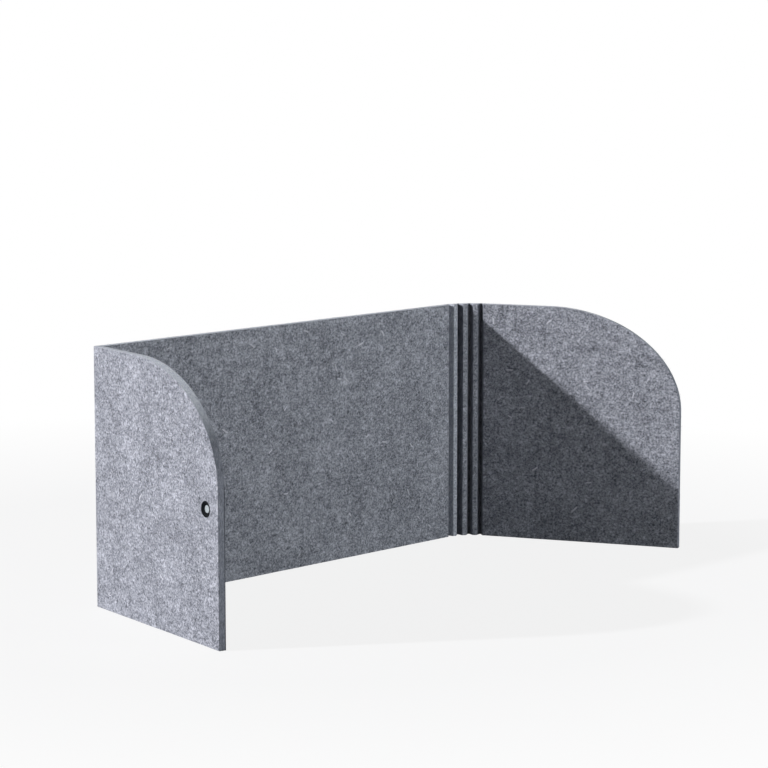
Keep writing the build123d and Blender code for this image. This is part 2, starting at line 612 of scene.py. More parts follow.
class Graph:
    """A node tree with short ways to add, set and join nodes."""

    def __init__(self, tree: bpy.types.NodeTree) -> None:
        """Start on a tree."""
        self.tree = tree
        self.column = 0

    def set(self, node: bpy.types.Node, values: dict) -> None:
        """Fill a node's inputs.

        Args:
            node: The node.
            values: What goes in, by the input's name or number: a plain value, or one or more outputs to link from.
        """
        for key, value in values.items():
            for term in value if isinstance(value, list) else [value]:
                if isinstance(term, Socket):
                    self.tree.links.new(term, node.inputs[key])
                else:
                    node.inputs[key].default_value = term

    def add(self, kind: str, values: dict | None = None, **settings: object) -> bpy.types.Node:
        """Add a node.

        Args:
            kind: The node's type.
            values: What goes into its inputs.
            **settings: The node's own properties.

        Returns:
            The node.
        """
        node = self.tree.nodes.new(kind)
        node.location = (self.column * 180, -(self.column % 5) * 160)
        self.column += 1
        for key, value in settings.items():
            setattr(node, key, value)
        self.set(node, values or {})
        return node

    def out(self, kind: str, values: dict | None = None, **settings: object) -> Socket:
        """Add a node and give its first output."""
        return self.add(kind, values, **settings).outputs[0]

    def math(self, operation: str, *terms: Term, clamp: bool = False) -> Socket:
        """Add a Math node."""
        return self.out("ShaderNodeMath", dict(enumerate(terms)), operation=operation, use_clamp=clamp)

    def plus(self, first: Term, second: Term) -> Socket:
        """Add two numbers."""
        return self.math("ADD", first, second)

    def minus(self, first: Term, second: Term) -> Socket:
        """Take the second number from the first."""
        return self.math("SUBTRACT", first, second)

    def times(self, first: Term, second: Term) -> Socket:
        """Multiply two numbers."""
        return self.math("MULTIPLY", first, second)

    def swing(self, noise_value: Socket, gain: float, base: Term, clamp: bool = False) -> Socket:
        """Add a noise value's swing about its middle, times a gain, to a base."""
        return self.math("MULTIPLY_ADD", self.minus(noise_value, 0.5), gain, base, clamp=clamp)

    def vector(self, operation: str, *terms: Term) -> Socket:
        """Add a Vector Math node."""
        return self.out("ShaderNodeVectorMath", dict(enumerate(terms)), operation=operation)

    def scaled(self, vector: Term, amount: Term) -> Socket:
        """Scale a vector."""
        return self.out("ShaderNodeVectorMath", {0: vector, "Scale": amount}, operation="SCALE")

    def noise(self, vector: Term, scale: float, detail: float = 2.0, rough: float = 0.5, output: int = 0) -> Socket:
        """Add a 3D noise texture and give its value, or with output 1 its colour."""
        values = {"Vector": vector, "Scale": scale, "Detail": detail, "Roughness": rough}
        return self.add("ShaderNodeTexNoise", values).outputs[output]

    def ramp(self, value: Term, low: float, high: float, start: float = 0.0, end: float = 1.0) -> Socket:
        """Map a value from low..high to start..end, clamped."""
        values = {"Value": value, "From Min": low, "From Max": high, "To Min": start, "To Max": end}
        return self.out("ShaderNodeMapRange", values)

    def mix(self, factor: Term, first: Term, second: Term) -> Socket:
        """Mix two colours."""
        return self.add("ShaderNodeMix", {0: factor, 6: first, 7: second}, data_type="RGBA").outputs[2]

    def attribute(self, name: str, output: str = "Fac") -> Socket:
        """Read what the piece carries under a name."""
        return self.add("ShaderNodeAttribute", attribute_name=name).outputs[output]

    def object_place(self) -> Socket:
        """Read the place on the object."""
        return self.add("ShaderNodeTexCoord").outputs["Object"]

    def bump(self, strength: Term, distance: float, height: Socket) -> Socket:
        """Raise a surface's normal."""
        return self.out("ShaderNodeBump", {"Strength": strength, "Distance": distance, "Height": height})

    def straight_rays(self) -> Socket:
        """Tell the rays that make up a picture from those that light it.

        Returns:
            1 on rays from the camera, also mirrored ones and those through clear things.
        """
        path = self.add("ShaderNodeLightPath").outputs
        seen = self.math("MAXIMUM", path["Is Camera Ray"], path["Is Glossy Ray"])
        return self.math("MAXIMUM", seen, path["Is Transmission Ray"])


def new_material(name: str) -> tuple[Material, Graph, bpy.types.Node]:
    """Make a material.

    Args:
        name: Its name.

    Returns:
        The material, its graph, and its Principled shader.
    """
    material = bpy.data.materials.new(name)
    material.use_nodes = True
    return material, Graph(material.node_tree), material.node_tree.nodes["Principled BSDF"]


def rgba(colour: Colour) -> tuple[float, float, float, float]:
    """Turn a colour written as on a screen, 0 to 255, into what a socket takes."""
    linear = [c / 255 / 12.92 if c <= 10.3 else ((c / 255 + 0.055) / 1.055) ** 2.4 for c in colour]
    return linear[0], linear[1], linear[2], 1.0


@dataclass(frozen=True)
class FeltFinish:
    """Pressed felt of mixed grey fibres: clumped, with stray light and dark hairs, and smoother where it is cut. Its
    colour also carries painted shade deep in the grooves and painted light: a highlight on cut felt that looks up,
    and lighter rib faces.
    """

    name: str = "pressed_felt"
    shade: Colour = (82, 85, 92)
    middle: Colour = (147, 150, 159)
    light: Colour = (210, 212, 221)
    hair_light: Colour = (228, 229, 236)
    hair_dark: Colour = (64, 66, 72)
    cut_dark: Colour = (60, 64, 71)
    cut_light: Colour = (165, 170, 182)
    painted_highlight_dark: Colour = (202, 208, 223)
    painted_highlight_light: Colour = (246, 251, 255)
    painted_groove_shade: Colour = (50, 53, 59)
    swirl_scale: float = 130.0
    swirl_reach: float = 5 * MM
    grain_scale: float = 270.0
    clump_scale: float = 80.0
    cloud_scale: float = 17.0
    tuft_scale: float = 120.0
    cut_layers: Spot = (90.0, 90.0, 560.0)
    light_angles: tuple[float, ...] = (14, 62, 111, 158)
    dark_angles: tuple[float, ...] = (38, 95, 137)
    light_hairs: float = 1150.0
    dark_hairs: float = 950.0
    roughness: float = 0.93
    sheen: float = 0.12
    bump_depth: float = 0.35 * MM

    def streaks(self, graph: Graph, place: Socket, angles: tuple[float, ...], fine: float, cut_off: float) -> Socket:
        """Draw thin hairs that lie in the board at a few angles.

        Args:
            graph: The material's graph.
            place: The warped place on the board.
            angles: The hairs' directions, in degrees.
            fine: Hairs per metre across.
            cut_off: The noise value above which a hair shows.

        Returns:
            A mask, 1 on the hairs.
        """
        hairs = []
        for number, angle in enumerate(angles):
            start, turn = (number * 3.1, number * 1.7, 0), (0, 0, math.radians(angle))
            turned = graph.out("ShaderNodeMapping", {"Vector": place, "Location": start, "Rotation": turn})
            stretched = graph.vector("MULTIPLY", turned, (fine * 0.11, fine, fine))
            hairs.append(graph.ramp(graph.noise(stretched, 1.0, 1.0, 0.4), cut_off, cut_off + 0.07))
        mask = hairs[0]
        for hair in hairs[1:]:
            mask = graph.math("MAXIMUM", mask, hair)
        return mask

    def fibres(self, graph: Graph, tone: Socket) -> Socket:
        """Colour the felt's fibres by their tone.

        Args:
            graph: The material's graph.
            tone: 0 in the darkest felt, 1 in the lightest.

        Returns:
            The colour.
        """
        ramp = graph.add("ShaderNodeValToRGB", {"Fac": tone})
        stops = ramp.color_ramp.elements
        stops[0].color = rgba(self.shade)
        stops[1].color = rgba(self.light)
        stops.new(0.5).color = rgba(self.middle)
        return ramp.outputs[0]

    def build(self) -> Material:
        """Build the felt material on the board's own unrolled coordinates.

        Returns:
            The material.
        """
        material, graph, shader = new_material(self.name)
        board = graph.attribute("sheet", "Vector")
        cut, groove, crown = (graph.attribute(name) for name in ("cut", "groove", "crown"))
        layered = graph.vector("MULTIPLY", board, (1, 1, 2.2))
        swirl = graph.vector("SUBTRACT", graph.noise(layered, self.swirl_scale, output=1), (0.5, 0.5, 0.5))
        warped = graph.vector("ADD", layered, graph.scaled(swirl, self.swirl_reach))
        grain = graph.noise(warped, self.grain_scale, 3.0, 0.62)
        clump = graph.noise(warped, self.clump_scale, 2.0, 0.55)
        cloud = graph.noise(layered, self.cloud_scale)
        light_hair = self.streaks(graph, warped, self.light_angles, self.light_hairs, 0.63)
        dark_hair = self.streaks(graph, warped, self.dark_angles, self.dark_hairs, 0.64)
        tuft_place = graph.vector("MULTIPLY", warped, (0.55, 1.6, 1.0))
        tuft = graph.ramp(graph.noise(tuft_place, self.tuft_scale, 1.0), 0.71, 0.78)
        layers = graph.noise(graph.vector("MULTIPLY", warped, self.cut_layers), 1.0, 2.0, 0.65)

        tone = graph.swing(cloud, 0.55, graph.swing(clump, 1.0, graph.swing(grain, 2.4, 0.5)), clamp=True)
        layered_cut = graph.mix(graph.ramp(layers, 0.3, 0.7), rgba(self.cut_dark), rgba(self.cut_light))
        # Colour of the painted highlight on cut felt that looks up.
        painted_highlight_colour = graph.mix(graph.ramp(grain, 0.36, 0.62), rgba(self.painted_highlight_dark), rgba(self.painted_highlight_light))
        colour = self.fibres(graph, tone)
        # Over the fibres go the hairs, the tufts and the layered cut felt, then painted light (a highlight on cut
        # felt that looks up, and lighter rib walls and faces) and painted shade deep in the grooves.
        for mask, share, over in (
            (dark_hair, 0.5, rgba(self.hair_dark)),
            (light_hair, 0.42, rgba(self.hair_light)),
            (tuft, 0.5, rgba(self.hair_light)),
            (cut, 0.72, layered_cut),
            (crown, 0.97, painted_highlight_colour),
            (groove, 0.3, rgba(self.painted_groove_shade)),
        ):
            colour = graph.mix(graph.times(mask, share), colour, over)

        height = graph.math("MULTIPLY_ADD", light_hair, 0.4, graph.math("MULTIPLY_ADD", clump, 0.5, grain))
        height = graph.math("MULTIPLY_ADD", dark_hair, -0.25, height)
        height = graph.math("MULTIPLY_ADD", graph.times(layers, cut), 1.2, height)
        graph.set(shader, {
            "Base Color": colour,
            "Roughness": graph.math("MULTIPLY_ADD", grain, 0.08, self.roughness - 0.04),
            "Specular IOR Level": 0.1,
            "Sheen Weight": self.sheen,
            "Sheen Roughness": 0.6,
            "Normal": graph.bump(graph.ramp(cut, 0, 1, 0.8, 0.6), self.bump_depth, height),
        })
        return material


@dataclass(frozen=True)
class HairFinish:
    """Loose polyester hairs, each with its own grey."""

    name: str = "felt_hair"
    dark: Colour = (104, 107, 115)
    light: Colour = (208, 210, 218)
    tuft: Colour = (228, 229, 236)
    grain_scale: float = 900.0

    def build(self) -> Material:
        """Build the hair material from the tint that each hair carries: 0 to 1, and more on tufts.

        Returns:
            The material.
        """
        material, graph, shader = new_material(self.name)
        tint = graph.attribute("tint")
        uneven = graph.noise(graph.object_place(), self.grain_scale, 1.0)
        colour = graph.mix(graph.swing(uneven, 0.3, tint, clamp=True), rgba(self.dark), rgba(self.light))
        colour = graph.mix(graph.ramp(tint, 1.05, 1.35), colour, rgba(self.tuft))
        graph.set(shader, {"Base Color": colour, "Roughness": graph.ramp(uneven, 0.3, 0.7, 0.55, 0.75)})
        return material


@dataclass(frozen=True)
class CupFinish:
    """Black moulded plastic with a fine spark-eroded grain and dust in its dish."""

    name: str = "black_cup"
    colour: Colour = (8, 11, 15)
    dust: Colour = (26, 30, 35)
    grain_scale: float = 2600.0
    dust_scale: float = 330.0
    roughness: float = 0.7
    bump_depth: float = 0.05 * MM

    def build(self) -> Material:
        """Build the plastic material.

        Returns:
            The material.
        """
        material, graph, shader = new_material(self.name)
        place = graph.object_place()
        dust = graph.ramp(graph.noise(place, self.dust_scale, 3.0, 0.6), 0.5, 0.8)
        graph.set(shader, {
            "Base Color": graph.mix(graph.times(dust, 0.35), rgba(self.colour), rgba(self.dust)),
            "Roughness": graph.math("MULTIPLY_ADD", dust, 0.2, self.roughness),
            "Specular IOR Level": 0.08,
            "Normal": graph.bump(0.3, self.bump_depth, graph.noise(place, self.grain_scale)),
        })
        return material


@dataclass(frozen=True)
class MagnetFinish:
    """Nickel plate with fine handling scratches and a little haze."""

    name: str = "nickel_plate"
    colour: Colour = (196, 204, 210)
    haze: Colour = (150, 157, 163)
    haze_scale: float = 420.0
    brushing: Spot = (300.0, 300.0, 5200.0)
    roughness: float = 0.28
    bump_depth: float = 0.03 * MM

    def build(self) -> Material:
        """Build the metal material.

        Returns:
            The material.
        """
        material, graph, shader = new_material(self.name)
        place = graph.object_place()
        scratch = graph.noise(graph.vector("MULTIPLY", place, self.brushing), 1.0)
        haze = graph.ramp(graph.noise(place, self.haze_scale), 0.4, 0.7)
        graph.set(shader, {
            "Base Color": graph.mix(graph.times(haze, 0.5), rgba(self.colour), rgba(self.haze)),
            "Metallic": 1.0,
            "Roughness": graph.math("MULTIPLY_ADD", scratch, 0.25, self.roughness - 0.12),
            "Normal": graph.bump(0.15, self.bump_depth, scratch),
        })
        return material


class ShapeTree(Graph):
    """A Geometry Nodes tree with named inputs, run on an object and turned into a plain mesh."""

    def __init__(self, name: str, inputs: dict[str, object]) -> None:
        """Start a tree.

        Args:
            name: The tree's name.
            inputs: Each input's name, with its value: a number, a point, or a material.
        """
        super().__init__(bpy.data.node_groups.new(name, "GeometryNodeTree"))
        sockets = self.tree.interface
        for way in ("OUTPUT", "INPUT"):
            sockets.new_socket("Geometry", in_out=way, socket_type="NodeSocketGeometry")
        kinds = {int: "NodeSocketInt", float: "NodeSocketFloat", tuple: "NodeSocketVector"}
        self.keys: dict[str, str] = {}
        self.values = inputs
        for key, value in inputs.items():
            kind = kinds.get(type(value), "NodeSocketMaterial")
            self.keys[key] = sockets.new_socket(key, in_out="INPUT", socket_type=kind).identifier
        self.given = self.add("NodeGroupInput").outputs

    def xyz(self, x: Term = 0.0, y: Term = 0.0, z: Term = 0.0) -> Socket:
        """Join three numbers into a vector."""
        return self.out("ShaderNodeCombineXYZ", {0: x, 1: y, 2: z})

    def apart(self, vector: Socket) -> list[Socket]:
        """Take a vector's three numbers apart."""
        return list(self.add("ShaderNodeSeparateXYZ", {0: vector}).outputs)

    def position(self) -> list[Socket]:
        """Give each point's place, as three numbers."""
        return self.apart(self.out("GeometryNodeInputPosition"))

    def across(self, tangent: Socket) -> Socket:
        """Give the level direction to the left of a tangent."""
        return self.vector("CROSS_PRODUCT", (0, 0, 1), tangent)

    def moved(self, shape: Socket, **values: Socket) -> Socket:
        """Move a shape's points to a Position, or by an Offset."""
        return self.out("GeometryNodeSetPosition", {0: shape, **values})

    def placed(self, shape: Socket, **values: Socket) -> Socket:
        """Transform a whole shape by a Translation and a Rotation."""
        return self.out("GeometryNodeTransform", {0: shape, **values})

    def named(self, name: str) -> Socket:
        """Read a number that the shape carries."""
        return self.out("GeometryNodeInputNamedAttribute", {"Name": name}, data_type="FLOAT")

    def store(self, shape: Socket, name: str, value: Term, kind: str = "FLOAT", domain: str = "POINT") -> Socket:
        """Let a shape carry a value under a name."""
        values = {0: shape, "Name": name, "Value": value}
        return self.out("GeometryNodeStoreNamedAttribute", values, data_type=kind, domain=domain)

    def random(self, low: float, high: float, seed: int) -> Socket:
        """Draw a number for each point."""
        return self.add("FunctionNodeRandomValue", {2: low, 3: high, "Seed": seed}, data_type="FLOAT").outputs[1]

    def finish(self, shape: Socket, material: Socket) -> None:
        """End the tree: real geometry in one material."""
        real = self.out("GeometryNodeRealizeInstances", {0: shape})
        self.add("NodeGroupOutput", {0: self.out("GeometryNodeSetMaterial", {0: real, "Material": material})})

    def run(self, name: str, start: bpy.types.Mesh | None = None, **values: object) -> Piece:
        """Run the tree once.

        Args:
            name: The finished piece's name.
            start: The mesh that it works on, if any.
            **values: Inputs that differ from the tree's own values, with _ for a space.

        Returns:
            A plain mesh object.
        """
        carrier = new_object(name, start.copy() if start else bpy.data.meshes.new(name))
        modifier = carrier.modifiers.new("shape", "NODES")
        modifier.node_group = self.tree
        given = {key.replace("_", " "): value for key, value in values.items()}
        for key, value in {**self.values, **given}.items():
            modifier[self.keys[key]] = value
        depsgraph = bpy.context.evaluated_depsgraph_get()
        depsgraph.update()
        made = bpy.data.meshes.new_from_object(carrier.evaluated_get(depsgraph), depsgraph=depsgraph)
        carrier.modifiers.remove(modifier)
        carrier.data = made
        made.name = name
        return carrier


@dataclass
class RibCorner:
    """The narrow felt ribs that stand between the right corner's four grooves."""

    felt: Material
    around: int = 84
    upwards: int = 150
    lip_radius: float = 0.75 * MM
    lip_points: int = 4
    step_back: float = 3.6 * MM
    step_depth: float = 1.3 * MM
    relief: float = 0.1 * MM
    lump_scale: float = 190.0
    crowding: float = 0.35
    seam: float = 0.004 * MM
    # Painted light on the ribs: the first rib's near wall keeps no painted groove shade and is lightened instead, and
    # the inner faces are lightened, the first rib's most.
    first_wall_shade: float = 0.0
    near_wall_painted_light: float = 0.72
    first_face_painted_light: float = 0.4
    face_painted_light: float = 0.1

    def section(self, tree: ShapeTree) -> Socket:
        """Draw a rib's plan: broad in the outer face, stepped back there for the skins, with two rounded lips.

        Args:
            tree: The ribs' tree.

        Returns:
            The plan as a closed ring.
        """
        given = tree.given
        deep, slope = given["Step depth"], given["Wall slope"]
        foot = tree.times(given["Thickness"], slope)
        backs = [(given["Step back"], 0.0), (tree.times(deep, slope), deep), (foot, given["Thickness"])]
        plan = backs + [(tree.minus(given["Pitch"], back), depth) for back, depth in backs[::-1]]
        line = tree.out("GeometryNodeMeshLine", {"Count": len(plan)})
        index = tree.out("GeometryNodeInputIndex")
        pick = tree.add("GeometryNodeIndexSwitch", data_type="VECTOR")
        while len(pick.index_switch_items) < len(plan):
            pick.index_switch_items.new()
        points = [tree.xyz(across, tree.times(depth, -1.0)) for across, depth in plan]
        tree.set(pick, dict(enumerate([index, *points])))
        curve = tree.out("GeometryNodeMeshToCurve", {0: tree.moved(line, Position=pick.outputs[0])})
        closed = tree.out("GeometryNodeSetSplineCyclic", {0: curve, "Cyclic": True})
        lips = tree.math("COMPARE", index, 2.5, 0.6)
        radius = tree.times(lips, given["Lip radius"])
        rounding = {0: closed, "Count": self.lip_points, "Radius": radius}
        rounded = tree.out("GeometryNodeFilletCurve", rounding, mode="POLY")
        return tree.out("GeometryNodeResampleCurve", {0: rounded, "Count": self.around}, mode="COUNT")

    def solid(self, tree: ShapeTree, ring: Socket) -> Socket:
        """Raise the plan to a rib with rounded ends.

        Args:
            tree: The ribs' tree.
            ring: The plan.

        Returns:
            The closed rib, at the origin.
        """
        height, end_radius = tree.given["Height"], tree.given["End radius"]
        size = {"Size X": 1.0, "Size Y": 1.0, "Vertices X": self.around + 1, "Vertices Y": self.upwards}
        grid = tree.out("GeometryNodeMeshGrid", size)
        share_round, share_up = (tree.math("ADD", place, 0.5, clamp=True) for place in tree.position()[:2])
        spot = {0: ring, "Factor": share_round}
        sample = tree.add("GeometryNodeSampleCurve", spot, mode="FACTOR", data_type="FLOAT").outputs
        # Rows crowd towards the two ends, where the edges are rounded.
        wave = tree.math("COSINE", tree.times(share_up, math.pi))
        eased = tree.times(tree.minus(1.0, wave), 0.5)
        even = tree.math("MULTIPLY_ADD", eased, self.crowding, tree.times(share_up, 1 - self.crowding))
        level = tree.times(even, height)
        from_end = tree.math("MINIMUM", level, tree.minus(height, level))
        gap = tree.math("SUBTRACT", 1.0, tree.math("DIVIDE", from_end, end_radius), clamp=True)
        inset = tree.minus(1.0, tree.math("SQRT", tree.minus(1.0, tree.times(gap, gap))))
        shift = tree.scaled(tree.across(sample["Tangent"]), tree.times(inset, end_radius))
        standing = tree.vector("ADD", tree.vector("ADD", sample["Position"], shift), tree.xyz(z=level))
        walls = tree.moved(grid, Position=standing)

        tangent = tree.out("GeometryNodeInputTangent")
        drawn_in = tree.moved(ring, Offset=tree.scaled(tree.across(tangent), end_radius))
        foot = tree.out("GeometryNodeFillCurve", {0: drawn_in}, mode="NGONS")
        head = tree.placed(foot, Translation=tree.xyz(z=height))
        parts = [walls, head, tree.out("GeometryNodeFlipFaces", {0: foot})]
        whole = tree.out("GeometryNodeJoinGeometry", {0: parts})
        return tree.out("GeometryNodeMergeByDistance", {0: whole, "Distance": self.seam})

    def marked(self, tree: ShapeTree, shape: Socket) -> Socket:
        """Let a rib carry what its felt reads, and give it the felt's relief.

        Args:
            tree: The ribs' tree.
            shape: The bare rib.

        Returns:
            The rib with its place on the board, where it is cut, where painted shade darkens it in a groove, and
            where painted light lightens it.
        """
        given, pitch = tree.given, LAYOUT.rib_pitch
        along, out, level = tree.position()
        normal = tree.out("GeometryNodeInputNormal")
        _, facing, up = tree.apart(normal)
        board_place = tree.xyz(tree.plus(along, given["Unrolled"]), level, tree.times(out, -1.0))
        cut = tree.ramp(tree.math("ABSOLUTE", facing), 0.95, 0.7)
        near = tree.ramp(along, 0.4 * pitch, 0.6 * pitch, 1.0, 0.0)
        # Painted light: where Near wall shade is off, the near wall loses its painted shade and cut tone and is
        # lightened; each inner face is lightened too.
        painted_light_wall_mask = tree.times(near, tree.minus(1.0, given["Near wall shade"]))
        outside_painted_light = tree.minus(1.0, painted_light_wall_mask)
        # Painted shade: the groove walls darken towards the groove's bottom.
        on_wall = tree.times(cut, tree.ramp(tree.math("ABSOLUTE", up), 0.5, 0.3))
        deep = tree.ramp(out, -BOARD.thickness, BOARD.groove_shade_fade - BOARD.thickness)
        wall_painted_light = tree.times(tree.times(painted_light_wall_mask, cut), self.near_wall_painted_light)
        inner = tree.times(tree.ramp(facing, -0.7, -0.95), given["Face paleness"])
        # Painted highlight: cut felt that looks up is lightened.
        crown = tree.times(cut, tree.ramp(up, 0.1, 0.6))
        shape = tree.store(shape, "sheet", board_place, kind="FLOAT_VECTOR")
        shape = tree.store(shape, "cut", tree.times(cut, outside_painted_light))
        shape = tree.store(shape, "groove", tree.times(tree.times(on_wall, outside_painted_light), deep))
        shape = tree.store(shape, "crown", tree.math("MAXIMUM", crown, tree.plus(wall_painted_light, inner), clamp=True))
        lumps = tree.times(tree.minus(tree.noise(board_place, self.lump_scale), 0.62), given["Relief"])
        above = tree.times(tree.ramp(level, 0.0, 2 * MM), 2.0)
        return tree.moved(shape, Offset=tree.scaled(normal, tree.times(lumps, above)))

    def tree(self) -> ShapeTree:
        """Build the tree that makes one rib from its pitch, its groove and where it stands.

        Returns:
            The tree, ready to run once for each rib.
        """
        tree = ShapeTree("corner_rib", {
            "Pitch": LAYOUT.rib_pitch,
            "Thickness": BOARD.thickness,
            "Height": BOARD.height,
            "Wall slope": BOARD.slope(End.RIB_GROOVE),
            "Lip radius": self.lip_radius,
            "End radius": BOARD.edge_radius,
            "Step back": self.step_back,
            "Step depth": self.step_depth,
            "Relief": self.relief,
            "Heading": 0.0,
            "Fold": (0.0, 0.0, 0.0),
            "Unrolled": 0.0,
            "Near wall shade": 1.0,
            "Face paleness": self.face_painted_light,
            "Felt": self.felt,
        })
        rib = self.marked(tree, self.solid(tree, self.section(tree)))
        rib = tree.placed(rib, Translation=tree.given["Fold"], Rotation=tree.xyz(z=tree.given["Heading"]))
        tree.finish(tree.out("GeometryNodeSetShadeSmooth", {0: rib}), tree.given["Felt"])
        return tree

    def dress(self) -> list[Piece]:
        """Run the tree for each rib and let each stand for its solid.

        Returns:
            The ribs, from the back panel on.
        """
        tree, ribs = self.tree(), []
        for number in range(1, LAYOUT.ribs + 1):
            place = LAYOUT.turned(number)
            rib = tree.run(
                f"felt_rib_{number}",
                Heading=math.radians(place.heading),
                Fold=(*place.origin, 0.0),
                Unrolled=place.unrolled,
                Near_wall_shade=self.first_wall_shade if number == 1 else 1.0,
                Face_paleness=self.first_face_painted_light if number == 1 else self.face_painted_light,
            )
            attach(rib, f"rib_{number}")
            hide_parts(f"hinge_rib_{number}")
            log.info("%s: %d faces on rib_%d", rib.name, len(rib.data.polygons), number)
            ribs.append(rib)
        return ribs


@dataclass
class FoldSkin:
    """The thin skin that a groove leaves on the outer face, bent round its fold. Its profiles are in mm."""

    name: str
    bodies: tuple[str, str]
    before: Place
    fold: Pair
    bend: float
    unrolled: float
    radius: float
    columns: int = 26
    reach: float = 3.9 * MM
    outer_profile: tuple[Pair, ...] = ((3.3, 0.0), (3.6, 0.06), (3.9, 0.3))
    inner_profile: tuple[Pair, ...] = ((1.0, 1.6), (1.5, 1.45), (3.9, 0.32))
    bend_reach: float = 2.6 * MM
    end_gap: float = 0.05 * MM
    weld_gap: float = 0.002 * MM

    @property
    def way(self) -> int:
        """Give 1 where the board runs on past the fold along the back panel, -1 at the left corner."""
        return 1 if self.unrolled > 0 else -1

    def across(self) -> tuple[np.ndarray, np.ndarray, np.ndarray]:
        """Work out the skin's section.

        Returns:
            Along the section, the distance from the fold, the outer depth and the inner depth.
        """
        spread = np.linspace(-1, 1, self.columns + 1)
        reach = self.reach * np.sign(spread) * abs(spread) ** 1.25
        outer, inner = (
            np.interp(abs(reach) / MM, *zip(*profile)) * MM for profile in (self.outer_profile, self.inner_profile)
        )
        inner[[0, -1]] = outer[[0, -1]]
        return reach, outer, inner

    def bent(self, along: np.ndarray, depth: np.ndarray) -> np.ndarray:
        """Bend flat points round the fold.

        Args:
            along: Distance past the fold on the flat board.
            depth: Depth under the outer face.

        Returns:
            Plan positions in the frame.
        """
        turn = math.radians(self.bend)
        tangent = self.radius * math.tan(turn / 2)
        angle = np.clip((along + tangent) / (2 * tangent), 0, 1) * turn
        inside = self.radius - depth
        arc = np.stack([-tangent + inside * np.sin(angle), inside * np.cos(angle) - self.radius], 1)
        first = np.stack([along, -depth], axis=1)
        way, out = np.array([math.cos(turn), -math.sin(turn)]), np.array([math.sin(turn), math.cos(turn)])
        last = along[:, None] * way - depth[:, None] * out
        plan = np.where((along < -tangent)[:, None], first, np.where((along > tangent)[:, None], last, arc))
        ahead, outward = self.before.along[:2] * self.way, self.before.outward[:2]
        return np.array(self.fold) + plan[:, :1] * ahead + plan[:, 1:] * outward

    def world(self, local: np.ndarray) -> np.ndarray:
        """Turn (distance past the fold, height, depth) into frame coordinates."""
        return np.column_stack([self.bent(local[:, 0], local[:, 2]), local[:, 1]])

    def sheet(self, local: np.ndarray) -> np.ndarray:
        """Give where on the unrolled board each local point lies."""
        return np.column_stack([self.unrolled + self.way * local[:, 0], local[:, 1:]])

    def mesh(self) -> Piece:
        """Build the skin as a closed band, up its outer side and down its inner one.

        Returns:
            The felt piece.
        """
        reach, outer, inner = self.across()
        rows = BOARD.rows()[: BOARD.arc_steps + 1]
        ends = [(inset, depth) for depth, inset, _ in rows[::-1]]
        count = round(BOARD.height / BOARD.step)
        middle = [(v, 0.0) for v in np.linspace(BOARD.edge_radius, BOARD.height - BOARD.edge_radius, count)[1:-1]]
        outside = ends + middle + [(BOARD.height - v, d) for v, d in ends[::-1]]
        band = [(level, np.minimum(outer + d, inner), min(1.0, d / BOARD.edge_radius), 0.0) for level, d in outside]
        # The skin's inner side, the groove's bottom, carries full painted groove shade.
        band += [(level, inner, 1.0, 1.0) for level in np.linspace(BOARD.height, 0, count)]
        shell, lines = Shell(), []
        for level, depth, cut, groove in band:
            height = np.full_like(reach, np.clip(level, self.end_gap, BOARD.height - self.end_gap))
            lines.append(shell.add(np.column_stack([reach, height, depth]), cut, groove))
        faces = []
        for upper, lower in zip(lines, lines[1:] + lines[:1]):
            faces += strip(upper, lower, closed=False)
        piece = shell.make(self.name, faces, self.world, self.sheet, flip=self.way > 0)
        self.weld(piece.data)
        return piece

    def weld(self, mesh: bpy.types.Mesh) -> None:
        """Close the skin's thin side edges and drop the empty faces there.

        Args:
            mesh: The skin's mesh.
        """
        work = bmesh.new()
        work.from_mesh(mesh)
        bmesh.ops.remove_doubles(work, verts=work.verts, dist=self.weld_gap)
        bmesh.ops.dissolve_degenerate(work, edges=work.edges, dist=self.weld_gap)
        bmesh.ops.recalc_face_normals(work, faces=work.faces)
        work.to_mesh(mesh)
        work.free()
        mesh.shade_smooth()

    def dress(self, felt: Material) -> Piece:
        """Build the skin and give it its felt.

        Args:
            felt: The felt material.

        Returns:
            The piece.
        """
        piece = self.mesh()
        piece.data.materials.append(felt)
        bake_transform(piece)
        log.info("%s: %d faces between %s and %s", piece.name, len(piece.data.polygons), *self.bodies)
        return piece


